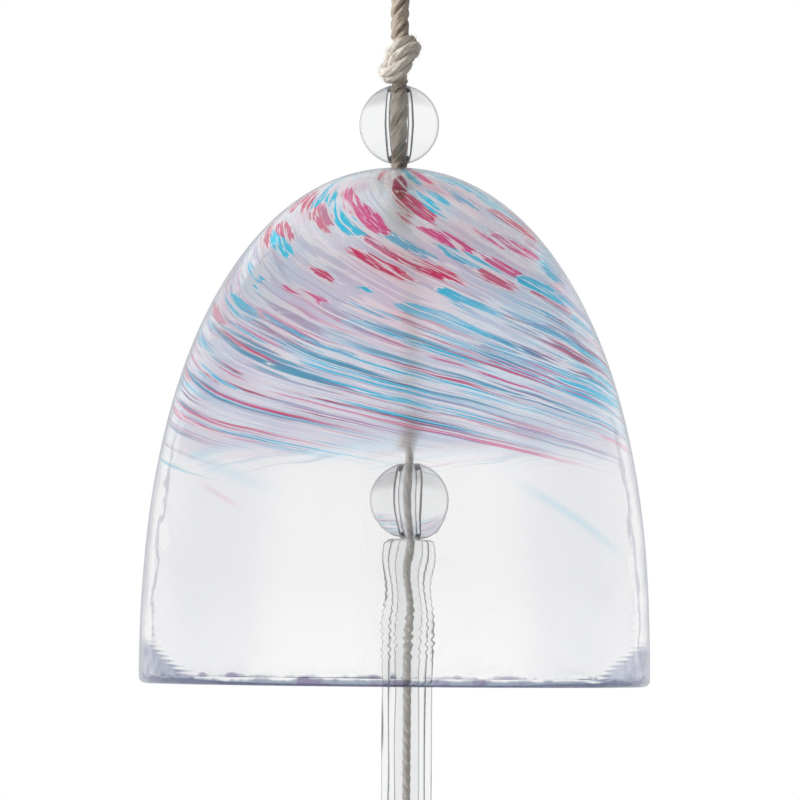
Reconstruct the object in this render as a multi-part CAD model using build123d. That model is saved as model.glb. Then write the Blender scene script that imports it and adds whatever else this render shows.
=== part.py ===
from build123d import *
import math
import os

# Furin wind bell: a blown glass bell that hangs from one cotton cord, with a glass bead above it
# and a clapper of a bead and a glass tube inside, and a paper strip below that catches the wind.
# Millimetres, +Z up, and the front of the bell faces -Y. The origin is the point inside the top of
# the cord's loop that bears on a hook, so everything else lies below it.

# Cord: one length, doubled from the loop down to the stopper knot and single below it. The gap
# is between its two legs where they run side by side.
leg_diameter = 1.3
leg_gap = 0.1
doubled_diameter = 2.6
threaded_diameter = 2.4
cord_arc_share = 0.45
bend_gap = 0.3

# Loop over the hook
loop_width = 9.0
loop_length = 18.0
upper_cord_length = 8.5

# Knots: the strand's diameter in the tightened knot, and the gap between its turns
upper_knot_strand = 1.6
stopper_knot_strand = 1.6
inner_knot_strand = 1.0
tube_knot_strand = 1.35
strip_knot_strand = 1.0
knot_turn_gap = 0.2
knot_reach_share = 2.0
knot_neck_share = 1.15
knot_lobe_share = 1.5
gap_samples = 240
gap_apart_share = 1.7

# Glass beads
bead_diameter = 12.5
bead_bore_end_diameter = 2.5
bead_bore_middle_diameter = 3.1
bead_bore_edge_radius = 0.2
upper_bead_top_gap = 0.5
upper_bead_bottom_gap = 0.6

# Bell
rim_diameter = 80.0
bell_height = 81.0
wall_thickness = 2.2
crown_thickness = 3.0
crown_hole_diameter = 4.2
crown_flare_diameter = 6.0
crown_throat_length = 1.2
crown_edge_radius = 0.4
rim_edge_radius = 1.0
dome_width_power = 2.1
dome_height_power = 2.35
dome_height_shares = (0.14, 0.28, 0.41, 0.53, 0.64, 0.74, 0.83, 0.9, 0.95, 0.985)

# Clapper
stopper_seat_gap = 0.45
clapper_offset = 2.0
inner_cord_length = 27.9
lower_bead_drop = 2.2
tube_diameter = 7.9
tube_bore_diameter = 3.9
tube_length = 65.0
tube_edge_radius = 0.4
bead_on_tube_gap = 0.3
tube_on_knot_gap = 0.3

# Paper strip
strip_cord_length = 9.0
strip_loop_length = 10.0
strip_loop_width = 4.0
strip_width = 36.0
strip_length = 98.0
strip_thickness = 0.4
strip_corner_radius = 2.0
strip_hole_diameter = 4.0
strip_hole_depth = 6.0
strip_hole_gap = 0.3

# Half of an overhand knot, from its middle down to one end, as shares of the spacing of its
# turns. The other half is the same turned over about Y.
knot_middle_share = (0.0, 1.45, 0.0)
knot_half_shares = [
    (0.85, 1.25, 0.55),
    (1.35, 0.35, 1.35),
    (0.95, -0.80, knot_lobe_share),
    (0.00, -1.30, 0.95),
    (-0.80, -1.00, 0.15),
    (-0.70, -0.15, -0.60),
    (0.00, 0.00, -knot_neck_share),
    (0.00, 0.00, -knot_reach_share),
]

# Half of the loop over the hook, from its top down to its neck, across as shares of its half width
# and down as shares of its length
loop_half_shares = [
    (0.30, 0.00),
    (0.80, 0.08),
    (1.00, 0.26),
    (0.85, 0.50),
    (0.45, 0.76),
]
loop_neck_share = 0.90

# Half of the loop through the strip's hole, from its foot up to its knot, in the same way
strip_loop_half_shares = [
    (0.40, 1.00),
    (1.00, 0.86),
    (0.95, 0.45),
]
strip_loop_neck_share = 0.12


def cord_path(points):
    """Straight runs joined by arcs that are as large as the runs allow."""
    places = [Vector(*point) for point in points]
    radii = []
    for before, corner, after in zip(places, places[1:], places[2:]):
        run_in, run_out = corner - before, after - corner
        turn = math.radians(run_in.get_angle(run_out))
        shorter = min(run_in.length, run_out.length)
        radii.append(cord_arc_share * shorter / math.tan(turn / 2))
    return FilletPolyline(*places, radius=radii), radii


def cord_tube(name, points, diameter):
    """A bent cord as a round tube, with its radii and its volume printed."""
    path, radii = cord_path(points)
    section = Plane(origin=path @ 0, z_dir=path % 0) * Circle(diameter / 2)
    tube = sweep(section, path=path)
    expected = math.pi * diameter**2 / 4 * path.length
    print(name, "radii", [round(r, 2) for r in radii])
    print(name, "length", round(path.length, 2), "volume share", round(tube.volume / expected, 4))
    return tube


def straight_cord(top_z, bottom_z, diameter, x=0.0):
    """A taut stretch of cord, hanging plumb."""
    return Pos(x, 0, bottom_z) * Cylinder(
        diameter / 2, top_z - bottom_z, align=(Align.CENTER, Align.CENTER, Align.MIN)
    )


def hung_cord(pivot_z, bottom_z, diameter, x=0.0):
    """A taut stretch of cord that swings about its rounded top end."""
    return straight_cord(pivot_z, bottom_z, diameter, x) + Pos(x, 0, pivot_z) * Sphere(diameter / 2)


def turn_spacing(strand):
    return strand + knot_turn_gap


def knot_reach(strand):
    """From a knot's middle to either end of its strand."""
    return knot_reach_share * turn_spacing(strand)


def knot_lobe_height(strand):
    """From a knot's middle to the top of its highest turn."""
    return knot_lobe_share * turn_spacing(strand) + strand / 2


def least_gap(path, strand):
    """The least gap between the strand and itself, from points along it."""
    places = [path @ (k / gap_samples) for k in range(gap_samples + 1)]
    apart = math.ceil(gap_apart_share * turn_spacing(strand) * gap_samples / path.length)
    return min(
        (later - place).length - strand
        for i, place in enumerate(places)
        for later in places[i + apart :]
    )


def overhand_knot(name, strand, middle_z, x=0.0, exit_shift=0.0):
    """An overhand knot drawn tight, whose lower end may leave to one side of its upper end."""
    spacing = turn_spacing(strand)
    middle = tuple(spacing * share for share in knot_middle_share)
    lower = [(spacing * a, spacing * b, spacing * c) for a, b, c in knot_half_shares]
    upper = [(-a, b, -c) for a, b, c in lower]
    lower[-2] = (exit_shift / 2, 0, lower[-2][2])
    lower[-1] = (exit_shift, 0, lower[-1][2])
    points = [(x + a, b, middle_z + c) for a, b, c in upper[::-1] + [middle] + lower]
    print(name, "least gap to itself", round(least_gap(cord_path(points)[0], strand), 3))
    return cord_tube(name, points, strand)


def glass_bead():
    """A ball with a bore that is widest in its middle, about the origin."""
    radius = bead_diameter / 2
    end_radius = bead_bore_end_diameter / 2
    end_z = math.sqrt(radius**2 - end_radius**2)
    bore = Polyline(
        (end_radius, 0, end_z),
        (bead_bore_middle_diameter / 2, 0, 0),
        (end_radius, 0, -end_z),
    )
    ball = ThreePointArc((end_radius, 0, -end_z), (radius, 0, 0), (end_radius, 0, end_z))
    bead = revolve(make_face(bore + ball), Axis.Z)
    circles = bead.edges().filter_by(GeomType.CIRCLE).group_by(Axis.Z)
    return fillet(circles[0] + circles[-1], bead_bore_edge_radius)


def dome_radius(height_share, base_radius):
    """How wide the bell's dome is at a share of its height."""
    closing = 1 - height_share**dome_height_power
    return base_radius * closing ** (1 / dome_width_power)


def dome_curve(base_radius, height, top_radius):
    """The dome's outline from the rim up to a hole of top_radius in the crown."""
    places = [(base_radius, 0, 0)]
    for share in dome_height_shares:
        places.append((dome_radius(share, base_radius), 0, share * height))
    places.append((top_radius, 0, height))
    return Spline(*places, tangents=[(0, 0, 1), (-1, 0, 0)])


def blown_bell():
    """The glass bell about its own axis, with its rim at z = 0."""
    rim_radius = rim_diameter / 2
    inner_rim_radius = rim_radius - wall_thickness
    inner_height = bell_height - crown_thickness
    hole_radius = crown_hole_diameter / 2
    flare_radius = crown_flare_diameter / 2
    outside = dome_curve(rim_radius, bell_height, hole_radius)
    inside = dome_curve(inner_rim_radius, inner_height, flare_radius)
    hole = Polyline(
        (hole_radius, 0, bell_height),
        (hole_radius, 0, bell_height - crown_throat_length),
        (flare_radius, 0, inner_height),
    )
    rim = Line((inner_rim_radius, 0, 0), (rim_radius, 0, 0))
    bell = revolve(make_face(outside + hole + inside + rim), Axis.Z)
    rim_edges = bell.edges().filter_by(GeomType.CIRCLE).group_by(Axis.Z)[0]
    bell = fillet(rim_edges, rim_edge_radius)
    crown_edge = bell.edges().filter_by(GeomType.CIRCLE).group_by(Axis.Z)[-1]
    return fillet(crown_edge, crown_edge_radius)


def clapper_glass():
    """The clapper's thick-walled tube, its top at z = 0, with fire-polished ends."""
    tube = Cylinder(tube_diameter / 2, tube_length) - Cylinder(tube_bore_diameter / 2, tube_length)
    tube = fillet(tube.edges().filter_by(GeomType.CIRCLE), tube_edge_radius)
    return Pos(0, 0, -tube_length / 2) * tube


def punched_strip(hole_z):
    """The paper strip in the X-Z plane, its hole's centre at hole_z."""
    sheet = RectangleRounded(strip_width, strip_length, strip_corner_radius)
    sheet = Pos(0, strip_hole_depth - strip_length / 2) * sheet - Circle(strip_hole_diameter / 2)
    flat = extrude(Plane.XZ * sheet, strip_thickness / 2, both=True)
    return Pos(clapper_offset, 0, hole_z) * flat


# Heights, from the hook down
leg_radius = leg_diameter / 2
leg_offset = (leg_diameter + leg_gap) / 2
neck_z = -loop_length
upper_knot_top_z = neck_z - upper_cord_length
upper_knot_z = upper_knot_top_z - knot_reach(upper_knot_strand)
upper_knot_bottom_z = upper_knot_z - knot_reach(upper_knot_strand)
bead_half_height = math.sqrt(bead_diameter**2 - bead_bore_end_diameter**2) / 2
upper_bead_z = upper_knot_bottom_z - upper_bead_top_gap - bead_half_height
crown_z = upper_bead_z - bead_half_height - upper_bead_bottom_gap
rim_z = crown_z - bell_height
stopper_z = crown_z - crown_thickness - stopper_seat_gap - knot_lobe_height(stopper_knot_strand)
stopper_top_z = stopper_z + knot_reach(stopper_knot_strand)
stopper_bottom_z = stopper_z - knot_reach(stopper_knot_strand)
clapper_pivot_z = stopper_bottom_z - bend_gap - leg_radius
inner_knot_top_z = clapper_pivot_z - inner_cord_length
inner_knot_z = inner_knot_top_z - knot_reach(inner_knot_strand)
inner_knot_bottom_z = inner_knot_z - knot_reach(inner_knot_strand)
lower_bead_z = inner_knot_bottom_z - lower_bead_drop - bead_half_height
tube_mouth_radius = tube_bore_diameter / 2 + tube_edge_radius
bead_seat_z = lower_bead_z - math.sqrt((bead_diameter / 2) ** 2 - tube_mouth_radius**2)
tube_top_z = bead_seat_z - bead_on_tube_gap
tube_bottom_z = tube_top_z - tube_length
tube_knot_z = tube_bottom_z - tube_on_knot_gap - knot_lobe_height(tube_knot_strand)
tube_knot_top_z = tube_knot_z + knot_reach(tube_knot_strand)
tube_knot_bottom_z = tube_knot_z - knot_reach(tube_knot_strand)
strip_pivot_z = tube_knot_bottom_z - bend_gap - leg_radius
strip_knot_top_z = strip_pivot_z - strip_cord_length
strip_knot_z = strip_knot_top_z - knot_reach(strip_knot_strand)
strip_knot_bottom_z = strip_knot_z - knot_reach(strip_knot_strand)
strip_loop_z = strip_knot_bottom_z - strip_loop_length
strip_hole_z = strip_loop_z + leg_radius + strip_hole_gap - strip_hole_diameter / 2

# The loop over the hook, in the X-Z plane, from one leg of its neck round to the other
loop_side = loop_width / 2
loop_half = [(loop_side * a, leg_radius - loop_length * b) for a, b in loop_half_shares]
loop_half += [(leg_offset, -loop_length * loop_neck_share), (leg_offset, neck_z)]
loop_points = [(-x, 0, z) for x, z in loop_half[::-1]] + [(x, 0, z) for x, z in loop_half]

# The loop through the strip, in the Y-Z plane, from the knot down in front and up behind
strip_loop_side = strip_loop_width / 2
strip_loop_half = [
    (strip_loop_side * a, strip_knot_bottom_z - strip_loop_length * b)
    for a, b in strip_loop_half_shares
]
strip_loop_half += [
    (leg_offset, strip_knot_bottom_z - strip_loop_length * strip_loop_neck_share),
    (leg_offset, strip_knot_bottom_z),
]
strip_loop_points = [(clapper_offset, -y, z) for y, z in strip_loop_half[::-1]]
strip_loop_points += [(clapper_offset, y, z) for y, z in strip_loop_half]

bead = glass_bead()
nodes = {
    "hanging_loop": cord_tube("hanging_loop", loop_points, leg_diameter),
    "upper_cord": straight_cord(neck_z, upper_knot_top_z, doubled_diameter),
    "upper_knot": overhand_knot("upper_knot", upper_knot_strand, upper_knot_z),
    "crown_cord": straight_cord(upper_knot_bottom_z, stopper_top_z, threaded_diameter),
    "stopper_knot": overhand_knot(
        "stopper_knot", stopper_knot_strand, stopper_z, exit_shift=clapper_offset
    ),
    "upper_bead": Pos(0, 0, upper_bead_z) * bead,
    "bell": Pos(0, 0, rim_z) * blown_bell(),
    "inner_cord": hung_cord(clapper_pivot_z, inner_knot_top_z, leg_diameter, clapper_offset),
    "inner_knot": overhand_knot("inner_knot", inner_knot_strand, inner_knot_z, clapper_offset),
    "lower_cord": straight_cord(
        inner_knot_bottom_z, tube_knot_top_z, leg_diameter, clapper_offset
    ),
    "lower_bead": Pos(clapper_offset, 0, lower_bead_z) * bead,
    "clapper_tube": Pos(clapper_offset, 0, tube_top_z) * clapper_glass(),
    "tube_knot": overhand_knot("tube_knot", tube_knot_strand, tube_knot_z, clapper_offset),
    "strip_cord": hung_cord(strip_pivot_z, strip_knot_top_z, leg_diameter, clapper_offset),
    "strip_knot": overhand_knot("strip_knot", strip_knot_strand, strip_knot_z, clapper_offset),
    "strip_loop": cord_tube("strip_loop", strip_loop_points, leg_diameter),
    "paper_strip": punched_strip(strip_hole_z),
}

os.makedirs("parts", exist_ok=True)
for name, shape in nodes.items():
    export_step(shape, f"parts/{name}.step")
print("rim", round(rim_z, 2), "crown", round(crown_z, 2), "stopper", round(stopper_z, 2))
print("clapper pivot", round(clapper_pivot_z, 2), "strip pivot", round(strip_pivot_z, 2))
print("tube", round(tube_top_z, 2), round(tube_bottom_z, 2), "bead", round(lower_bead_z, 2))
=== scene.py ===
# %% [markdown]
# A furin is a wind bell of blown glass. The bell hangs on a knotted cotton cord, a glass bead
# sits on its crown, and inside it a second bead and a glass tube hang as the clapper. A strip of
# paper on the end of the cord catches the wind. The CAD model gives every piece its size and its
# place. This notebook gives the pieces their looks: wavy glass, streaks of colour, twisted
# cotton and paper. The first cell loads the CAD model as a fixed frame, and keeps its box.

# %% Load the frame
import math

import bpy
import numpy as np
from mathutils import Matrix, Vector, geometry


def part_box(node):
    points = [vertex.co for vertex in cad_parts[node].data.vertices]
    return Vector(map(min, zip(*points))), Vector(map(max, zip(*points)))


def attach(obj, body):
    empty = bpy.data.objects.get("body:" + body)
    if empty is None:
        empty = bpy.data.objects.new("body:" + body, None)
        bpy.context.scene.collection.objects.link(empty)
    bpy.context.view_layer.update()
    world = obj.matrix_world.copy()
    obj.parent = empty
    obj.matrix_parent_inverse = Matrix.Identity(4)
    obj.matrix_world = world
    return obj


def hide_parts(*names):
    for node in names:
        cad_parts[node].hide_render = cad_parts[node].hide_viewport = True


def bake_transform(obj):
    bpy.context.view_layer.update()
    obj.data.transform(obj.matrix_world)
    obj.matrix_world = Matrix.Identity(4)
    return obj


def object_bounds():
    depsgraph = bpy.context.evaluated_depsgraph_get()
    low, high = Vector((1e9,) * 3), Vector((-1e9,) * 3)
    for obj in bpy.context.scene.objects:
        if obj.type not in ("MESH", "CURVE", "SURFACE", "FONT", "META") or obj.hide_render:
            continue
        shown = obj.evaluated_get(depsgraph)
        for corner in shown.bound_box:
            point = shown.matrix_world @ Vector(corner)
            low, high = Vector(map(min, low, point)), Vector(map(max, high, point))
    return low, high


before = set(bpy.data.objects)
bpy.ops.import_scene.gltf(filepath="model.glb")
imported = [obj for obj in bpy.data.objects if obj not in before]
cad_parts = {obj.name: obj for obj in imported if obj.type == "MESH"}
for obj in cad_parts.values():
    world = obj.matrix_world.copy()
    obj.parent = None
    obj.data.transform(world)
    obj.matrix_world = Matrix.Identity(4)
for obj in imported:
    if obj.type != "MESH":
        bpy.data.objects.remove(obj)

cad_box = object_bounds()
MM = 0.001
bell_low, bell_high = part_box("bell")
RIM_Z = bell_low.z
CROWN_Z = bell_high.z
bpy.context.scene.view_settings.view_transform = "Standard"
print("CAD box", [[round(x, 4) for x in corner] for corner in cad_box])
print("rim at", round(RIM_Z, 5), "crown at", round(CROWN_Z, 5))

# %% [markdown]
# The photograph was taken from far away with a long lens, from just above the height of the rim,
# so that the rim is nearly a straight line. A long lens keeps upright lines upright. The camera
# leans by half a degree, because the bell in the picture does.

# %% The camera
VIEW_WIDTH = 125.24 * MM
VIEW_ABOVE_RIM = 44.6 * MM
VIEW_RIGHT_OF_CORD = 0.5 * MM
CAMERA_DISTANCE = 1.8
CAMERA_ABOVE_RIM = 16 * MM
CAMERA_LEAN = math.radians(0.5)
SENSOR_WIDTH = 36.0

lens = bpy.data.cameras.new("camera")
lens.sensor_width = SENSOR_WIDTH
lens.lens = SENSOR_WIDTH * CAMERA_DISTANCE / VIEW_WIDTH
lens.clip_start = 0.01
lens.clip_end = 50
camera = bpy.data.objects.new("camera", lens)
bpy.context.scene.collection.objects.link(camera)
bpy.context.scene.camera = camera
camera.location = (VIEW_RIGHT_OF_CORD, -CAMERA_DISTANCE, RIM_Z + CAMERA_ABOVE_RIM)
target = Vector((VIEW_RIGHT_OF_CORD, 0, RIM_Z + VIEW_ABOVE_RIM))
aim = (target - camera.location).to_track_quat("-Z", "Y").to_matrix().to_4x4()
camera.matrix_world = (
    aim.Translation(camera.location) @ aim @ aim.Rotation(CAMERA_LEAN, 4, "Z")
)
print("lens", round(lens.lens, 1), "mm")

# %% [markdown]
# Materials here are written as sums. A node tree could be wired one node at a time, but a mask
# such as 1 - near * far is easier to read and to change as it stands. Value wraps one socket, and
# its operators add the Math nodes.


# %% Sums on sockets
class Value:
    """One number in a node tree. Its operators add Math nodes."""

    def __init__(self, finish, socket):
        self.finish = finish
        self.socket = socket

    def __add__(self, other):
        return self.finish.sum("ADD", self, other)

    def __radd__(self, other):
        return self.finish.sum("ADD", other, self)

    def __sub__(self, other):
        return self.finish.sum("SUBTRACT", self, other)

    def __rsub__(self, other):
        return self.finish.sum("SUBTRACT", other, self)

    def __mul__(self, other):
        return self.finish.sum("MULTIPLY", self, other)

    def __rmul__(self, other):
        return self.finish.sum("MULTIPLY", other, self)

    def __truediv__(self, other):
        return self.finish.sum("DIVIDE", self, other)

    def __pow__(self, power):
        return self.finish.sum("POWER", self, power)

    def then(self, operation, *others):
        """Any other Math node, by its name."""
        return self.finish.sum(operation, self, *others)

    def sine(self):
        return self.then("SINE")

    def cosine(self):
        return self.then("COSINE")

    def least(self, other):
        return self.then("MINIMUM", other)

    def most(self, other):
        return self.then("MAXIMUM", other)

    def ramp(self, start, end):
        """0 up to start and 1 past end, with an eased slope between them."""
        settings = {"interpolation_type": "SMOOTHSTEP"}
        sockets = {"Value": self, "From Min": start, "From Max": end}
        return Value(self.finish, self.finish.node("MapRange", settings, sockets).outputs[0])


print("sums ready")

# %% [markdown]
# Finish holds one node tree, and its node method adds any other node: it takes the node's type,
# its settings and what its sockets get, which is a number, a colour or the output of another
# node. Colours are written as they look on a screen, and turned into amounts of light.


# %% One way to add a node
class Finish:
    """The node tree of a material or of the world."""

    def __init__(self, owner, output):
        owner.use_nodes = True
        self.owner = owner
        self.tree = owner.node_tree
        self.tree.nodes.clear()
        self.end = self.tree.nodes.new(output)

    def feed(self, socket, source):
        if isinstance(source, Value):
            source = source.socket
        if isinstance(source, bpy.types.Node):
            source = source.outputs[0]
        if isinstance(source, bpy.types.NodeSocket):
            self.tree.links.new(source, socket)
        else:
            socket.default_value = source

    def node(self, kind, settings=None, sockets=None):
        made = self.tree.nodes.new("ShaderNode" + kind)
        for name, value in (settings or {}).items():
            setattr(made, name, value)
        for name, value in (sockets or {}).items():
            self.feed(made.inputs[name], value)
        return made

    def sum(self, operation, *parts):
        made = self.node("Math", {"operation": operation}, dict(enumerate(parts)))
        return Value(self, made.outputs[0])

    def value(self, kind, settings=None, sockets=None, output=0):
        return Value(self, self.node(kind, settings, sockets).outputs[output])

    def mixed(self, share, first, second, blend="MIX"):
        """Two colours mixed by a share from 0 to 1."""
        made = self.node("Mix", {"data_type": "RGBA", "blend_type": blend})
        self.feed(made.inputs[0], share)
        self.feed(made.inputs[6], first)
        self.feed(made.inputs[7], second)
        return made.outputs[2]

    def shaders(self, share, first, second):
        return self.node("MixShader", None, {0: share, 1: first, 2: second})

    def close(self, shader):
        self.feed(self.end.inputs["Surface"], shader)
        return self.owner


def material(name):
    return Finish(bpy.data.materials.new(name), "ShaderNodeOutputMaterial")


def rgb(red, green, blue):
    """A colour read off a screen, 0 to 255, as the renderer's own linear light."""
    shares = [value / 255 for value in (red, green, blue)]
    return (*[((v + 0.055) / 1.055) ** 2.4 if v > 0.04045 else v / 12.92 for v in shares], 1.0)


def looked_at(finish):
    """1 for rays of the camera, and for those that glass mirrors or lets through."""
    rays = finish.node("LightPath").outputs
    seen = Value(finish, rays["Is Camera Ray"])
    for name in ("Is Glossy Ray", "Is Transmission Ray"):
        seen = seen.most(Value(finish, rays[name]))
    return seen


print("shader helpers ready")

# %% [markdown]
# Clear glass shows what stands round it, so the room matters as much as the glass. The camera,
# reflections and everything seen through glass meet plain white. Only the light that falls on
# cotton, paper and the floor comes from a dimmer sky and from the lamps, so that those keep their
# shading.

# %% The room
SKY_LIGHT = 0.26

sky = Finish(bpy.data.worlds.new("white room"), "ShaderNodeOutputWorld")
bpy.context.scene.world = sky.owner
bounced = Value(sky, sky.node("LightPath").outputs["Diffuse Depth"]).least(1.0)
strength = SKY_LIGHT + looked_at(sky) * (1 - bounced) * (1 - SKY_LIGHT)
sky.close(sky.node("Background", None, {"Color": (1, 1, 1, 1), "Strength": strength}))


def soft_lamp(name, place, width, height, power):
    """A rectangular lamp that faces the middle of the bell."""
    light = bpy.data.lights.new(name, "AREA")
    light.shape = "RECTANGLE"
    light.size = width
    light.size_y = height
    light.energy = power
    lamp = bpy.data.objects.new(name, light)
    bpy.context.scene.collection.objects.link(lamp)
    middle = Vector((0, 0, (RIM_Z + CROWN_Z) / 2))
    lamp.visible_glossy = False
    lamp.visible_transmission = False
    lamp.location = place
    lamp.rotation_euler = (middle - Vector(place)).to_track_quat("-Z", "Y").to_euler()


soft_lamp("window on the left", (-1.0, -0.2, 0.2), 0.5, 0.9, 11.0)
soft_lamp("lamp overhead", (-0.2, -0.1, 0.9), 0.7, 0.7, 4.0)

# %% [markdown]
# The floor lies under the paper strip, out of the photograph's view. It keeps the soft shadow of
# the bell near the middle, and further out it glows as white as the room, so that no horizon
# shows.

# %% The floor
FLOOR_GAP = 20 * MM
FLOOR_SIZE = 40.0
SHADOW_REACH = (0.25, 0.9)

floor_mesh = bpy.data.meshes.new("floor")
half = FLOOR_SIZE / 2
floor_z = cad_box[0].z - FLOOR_GAP
corners = [(x * half, y * half, floor_z) for x, y in ((-1, -1), (1, -1), (1, 1), (-1, 1))]
floor_mesh.from_pydata(corners, [], [(0, 1, 2, 3)])
floor = bpy.data.objects.new("floor", floor_mesh)
bpy.context.scene.collection.objects.link(floor)

ground = material("pale floor")
place = ground.node("TexCoord").outputs["Object"]
split = ground.node("SeparateXYZ", None, {0: place})
away = Value(ground, split.outputs[0]) ** 2 + Value(ground, split.outputs[1]) ** 2
away = (away ** 0.5).ramp(*SHADOW_REACH)
plain = ground.node("BsdfPrincipled", None, {"Base Color": (0.9, 0.9, 0.9, 1), "Roughness": 0.9})
glow = ground.node("Emission", None, {"Color": (1, 1, 1, 1), "Strength": 1.0})
shown = away * looked_at(ground)
floor_mesh.materials.append(ground.close(ground.shaders(shown, plain, glow)))
print("floor at", round(floor_z, 4))

# %% [markdown]
# Clear glass in a white room would vanish. What draws a glass bead in a photograph is its edge,
# where a ray runs so flat along the surface that it comes from dark things far to the side. Here
# a thin grey veil, a painted shade, takes the place of those dark things: it is mixed in where the
# surface is seen edge on. A bore needs a darker painted veil over a wider band, because glass seen
# from inside mirrors fully from 42 degrees on. Lamps shine straight through, as they nearly do
# through real glass.

# %% Clear glass
GLASS_IOR = 1.5
GLASS_SHADOW = (0.84, 0.84, 0.86, 1)


def slant_of(finish):
    """0 where a surface faces the ray that meets it, 1 where the ray grazes it."""
    return finish.value("LayerWeight", None, {"Blend": 0.5}, output=1)


def glass(finish, colour, roughness, haze, veil, normal=None):
    """Glass of one colour, under a veil whose shader and share are given."""
    sockets = {
        "Base Color": colour,
        "Roughness": roughness,
        "IOR": GLASS_IOR,
        "Transmission Weight": 1.0,
    }
    if normal is not None:
        sockets["Normal"] = normal
    clear = finish.node("BsdfPrincipled", None, sockets)
    body = finish.shaders(veil, clear, haze)
    lamp_ray = finish.node("LightPath").outputs["Is Shadow Ray"]
    through = finish.node("BsdfTransparent", None, {"Color": GLASS_SHADOW})
    return finish.shaders(lamp_ray, body, through)


def dull_haze(finish, colour):
    """A haze that light falls on, as on a dull surface."""
    return finish.node("BsdfPrincipled", None, {"Base Color": colour, "Roughness": 0.6})


def clear_glass(name, edge_shade_colour, edge_shade_band, edge_shade_most):
    """Clear glass whose veil, a painted grey edge shade, grows over a band of slant, up to its
    greatest share.
    """
    finish = material(name)
    place = finish.node("TexCoord").outputs["Object"]
    cloud = finish.value("TexNoise", None, {"Vector": place, "Scale": 90.0, "Detail": 2.0})
    colour = finish.mixed(cloud, rgb(246, 247, 246), rgb(240, 241, 242))
    roughness = 0.004 + cloud * 0.02
    # Painted shade: a grey veil where the surface is seen edge on, in place of dark surroundings.
    veil = slant_of(finish).ramp(*edge_shade_band) * edge_shade_most
    return finish.close(glass(finish, colour, roughness, dull_haze(finish, edge_shade_colour), veil))


bead_glass = clear_glass("bead glass", rgb(156, 158, 160), (0.58, 1.0), 0.95)
bead_bore = clear_glass("bead bore", rgb(74, 76, 78), (0.42, 0.60), 0.92)
tube_glass = clear_glass("tube glass", rgb(140, 142, 146), (0.6, 0.95), 0.9)
tube_bore = clear_glass("tube bore", rgb(104, 106, 110), (0.52, 0.75), 0.9)
print("glass", [m.name for m in (bead_glass, bead_bore, tube_glass, tube_bore)])

# %% [markdown]
# The bell, the beads and the tube are all rings: a closed outline turned about an upright axis.
# One function spins them. It takes the outline as points of radius and height, and a function
# that shifts each point a little along the radius, because blown glass is never quite round.


# %% Spinning an outline
def new_piece(name, points, faces, finishes, body, face_finish=None):
    """A smooth mesh that rides on a body and takes its finish from a slot."""
    mesh = bpy.data.meshes.new(name)
    mesh.from_pydata([tuple(p) for p in points], [], [tuple(f) for f in faces])
    for finish in finishes:
        mesh.materials.append(finish)
    mesh.polygons.foreach_set("use_smooth", [True] * len(mesh.polygons))
    if face_finish is not None:
        mesh.polygons.foreach_set("material_index", face_finish)
    mesh.update()
    piece = bpy.data.objects.new(name, mesh)
    bpy.context.scene.collection.objects.link(piece)
    if body is not None:
        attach(piece, body)
    return piece


def spun(outline, sides, middle, shift):
    """Points and faces of a closed outline turned about the upright line through middle."""
    outline = np.asarray(outline, float)
    count = len(outline)
    angles = np.arange(sides) * 2 * math.pi / sides
    radius, height = outline[:, 0][None, :], outline[:, 1][None, :]
    turned = radius + shift(angles[:, None], height, radius)
    x = middle[0] + turned * np.sin(angles)[:, None]
    y = middle[1] - turned * np.cos(angles)[:, None]
    z = np.broadcast_to(height, turned.shape)
    points = np.stack([x, y, z], axis=-1).reshape(-1, 3)
    ring, step = np.meshgrid(np.arange(sides), np.arange(count), indexing="ij")
    next_ring, next_step = (ring + 1) % sides, (step + 1) % count
    corners = [(ring, step), (next_ring, step), (next_ring, next_step), (ring, next_step)]
    faces = np.stack([a * count + b for a, b in corners], axis=-1).reshape(-1, 4)
    return points, faces


def even(line, step):
    """A line's points again, about a step apart, with its ends kept."""
    line = np.asarray(line, float)
    along = np.concatenate([[0], np.cumsum(np.linalg.norm(np.diff(line, axis=0), axis=1))])
    count = max(2, math.ceil(along[-1] / step) + 1)
    at = np.linspace(0, along[-1], count)
    return np.stack([np.interp(at, along, line[:, k]) for k in range(line.shape[1])], axis=1)


print("ring helper ready")

# %% [markdown]
# The dome follows the same curve as in the CAD model: at a share s of its height its radius is
# (1 - s ** 2.35) ** (1 / 2.1) of the rim's. The outline goes up the outside, through the cord
# hole in the crown and down the inside, and closes round the lip. Close points are needed for
# the fine waves.

# %% The bell's outline
WALL = 2.2 * MM
CROWN_WALL = 3.0 * MM
HOLE_RADIUS = 2.1 * MM
FLARE_RADIUS = 3.0 * MM
THROAT = 1.2 * MM
HOLE_EDGE = 0.3 * THROAT
LIP_RADIUS = 1.0 * MM
LIP_POINTS = 11
WIDTH_POWER = 2.1
HEIGHT_POWER = 2.35
FINE_STEP = 0.24 * MM
PLAIN_STEP = 0.55 * MM
RIPPLE_REACH = 9 * MM
CURVE_POINTS = 4000

RIM_RADIUS = (bell_high.x - bell_low.x) / 2
BELL_HEIGHT = CROWN_Z - RIM_Z


def dome(base, height, top_radius):
    """The dome's outline from the rim up to a hole of top_radius, heights above the rim."""
    turn = np.linspace(0, math.pi / 2, CURVE_POINTS)
    radius = base * np.cos(turn) ** (2 / WIDTH_POWER)
    rise = height * np.sin(turn) ** (2 / HEIGHT_POWER)
    keep = radius >= top_radius
    return np.stack([radius[keep], rise[keep]], axis=1)


def stepped(line):
    """A dome's outline with close points where the ripples are, and wider ones above them."""
    line = line[line[:, 1] > LIP_RADIUS]
    rippled = line[:, 1] < 3 * RIPPLE_REACH
    return np.concatenate([even(line[rippled], FINE_STEP), even(line[~rippled], PLAIN_STEP)])


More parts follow.
